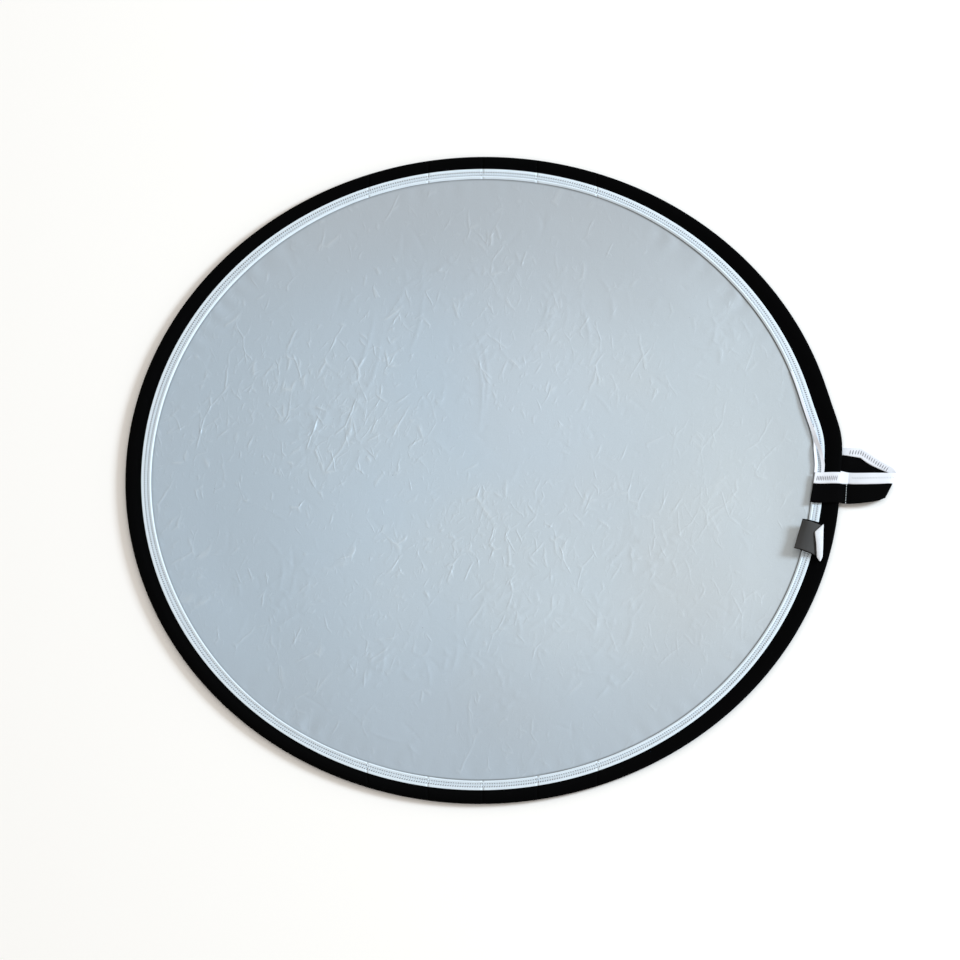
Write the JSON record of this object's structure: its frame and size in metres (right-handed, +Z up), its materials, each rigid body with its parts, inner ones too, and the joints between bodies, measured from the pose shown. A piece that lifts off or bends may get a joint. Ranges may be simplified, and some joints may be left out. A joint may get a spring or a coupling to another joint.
{
  "type": "collapsible reflector disc",
  "caption": "Round silver-faced cloth disc on a sprung steel hoop, with a black rim, white binding tape, a strap handle and a sewn label; it folds in half.",
  "frame": {"origin": "on the disc's axis, in the plane that the rim rests on", "axes": "+Z up, out of the silver face; +X from the disc's centre towards the handle; the disc folds about lines parallel to Y"},
  "size_m": [0.8649, 0.8, 0.0195],
  "materials": {
    "spring_steel": "rolled spring steel",
    "ferrule_steel": "plated, crimped",
    "wrap_tape": "cloth tape",
    "casing_cloth": "matt black polyester weave",
    "strap_cloth": "black polyester weave, slight sheen",
    "binding_tape": "white tape with white overlock stitches",
    "silver_cloth": "silver-coated cloth, satin, finely creased",
    "white_cloth": "matt white cloth",
    "thread": "white thread",
    "dark_thread": "black thread",
    "label_satin": "grey satin",
    "label_back_satin": "white satin"
  },
  "bodies": {
    "centre": {"hoop_band_centre": "spring_steel", "rim_casing_centre": "casing_cloth", "front_binding_centre": "binding_tape", "back_binding_centre": "binding_tape", "silver_panel_centre": "silver_cloth", "white_panel_centre": "white_cloth"},
    "right_inner": {"hoop_band_right_inner": "spring_steel", "rim_casing_right_inner": "casing_cloth", "front_binding_right_inner": "binding_tape", "back_binding_right_inner": "binding_tape", "silver_panel_right_inner": "silver_cloth", "white_panel_right_inner": "white_cloth"},
    "right_middle": {"hoop_band_right_middle": "spring_steel", "rim_casing_right_middle": "casing_cloth", "front_binding_right_middle": "binding_tape", "back_binding_right_middle": "binding_tape", "silver_panel_right_middle": "silver_cloth", "white_panel_right_middle": "white_cloth"},
    "right_outer": {"hoop_band_right_outer": "spring_steel", "rim_casing_right_outer": "casing_cloth", "front_binding_right_outer": "binding_tape", "back_binding_right_outer": "binding_tape", "silver_panel_right_outer": "silver_cloth", "white_panel_right_outer": "white_cloth", "hoop_ferrule": "ferrule_steel", "ferrule_wrap": "wrap_tape", "binding_tail": "binding_tape", "handle_front_tab": "strap_cloth", "handle_back_tab": "strap_cloth", "handle_tab_edging": "binding_tape", "handle_stitch_row": "thread", "label_tail": "label_back_satin", "label_stitch_row": "dark_thread"},
    "left_inner": {"hoop_band_left_inner": "spring_steel", "rim_casing_left_inner": "casing_cloth", "front_binding_left_inner": "binding_tape", "back_binding_left_inner": "binding_tape", "silver_panel_left_inner": "silver_cloth", "white_panel_left_inner": "white_cloth"},
    "left_middle": {"hoop_band_left_middle": "spring_steel", "rim_casing_left_middle": "casing_cloth", "front_binding_left_middle": "binding_tape", "back_binding_left_middle": "binding_tape", "silver_panel_left_middle": "silver_cloth", "white_panel_left_middle": "white_cloth"},
    "left_outer": {"hoop_band_left_outer": "spring_steel", "rim_casing_left_outer": "casing_cloth", "front_binding_left_outer": "binding_tape", "back_binding_left_outer": "binding_tape", "silver_panel_left_outer": "silver_cloth", "white_panel_left_outer": "white_cloth"},
    "handle": {"handle_loop": "strap_cloth", "handle_loop_edging": "binding_tape"},
    "label": {"label_front": "label_satin", "label_back": "label_back_satin"}
  },
  "joints": [
    {"name": "fold", "type": "hinge", "parent": "centre", "child": "right_inner", "pos_m": [0.03, 0, 0.004], "axis": [0, -1, 0], "range_deg": [0, 40], "stiffness_Nm_per_rad": 0.5},
    {"name": "right_middle_bend", "type": "hinge", "parent": "right_inner", "child": "right_middle", "pos_m": [0.092, 0, 0.004], "axis": [0, -1, 0], "range_deg": [0, 38], "stiffness_Nm_per_rad": 0.4},
    {"name": "right_outer_bend", "type": "hinge", "parent": "right_middle", "child": "right_outer", "pos_m": [0.164, 0, 0.004], "axis": [0, -1, 0], "range_deg": [0, 27], "stiffness_Nm_per_rad": 0.3},
    {"name": "left_inner_bend", "type": "hinge", "parent": "centre", "child": "left_inner", "pos_m": [-0.03, 0, 0.004], "axis": [0, 1, 0], "range_deg": [0, 40], "stiffness_Nm_per_rad": 0.5},
    {"name": "left_middle_bend", "type": "hinge", "parent": "left_inner", "child": "left_middle", "pos_m": [-0.092, 0, 0.004], "axis": [0, 1, 0], "range_deg": [0, 38], "stiffness_Nm_per_rad": 0.4},
    {"name": "left_outer_bend", "type": "hinge", "parent": "left_middle", "child": "left_outer", "pos_m": [-0.164, 0, 0.004], "axis": [0, 1, 0], "range_deg": [0, 27], "stiffness_Nm_per_rad": 0.3},
    {"name": "handle_swing", "type": "hinge", "parent": "right_outer", "child": "handle", "pos_m": [0.4116, 0, 0.004], "axis": [0, -1, 0], "range_deg": [0, 100]},
    {"name": "label_flip", "type": "hinge", "parent": "right_outer", "child": "label", "pos_m": [0.37812, -0.07762, 0.0076], "axis": [0.2011, 0.9796, 0], "range_deg": [-18, 110]}
  ],
  "couplings": [
    {"joint": "right_middle_bend", "follows": "fold", "ratio": 0.95},
    {"joint": "right_outer_bend", "follows": "fold", "ratio": 0.675},
    {"joint": "left_inner_bend", "follows": "fold", "ratio": 1},
    {"joint": "left_middle_bend", "follows": "fold", "ratio": 0.95},
    {"joint": "left_outer_bend", "follows": "fold", "ratio": 0.675}
  ]
}
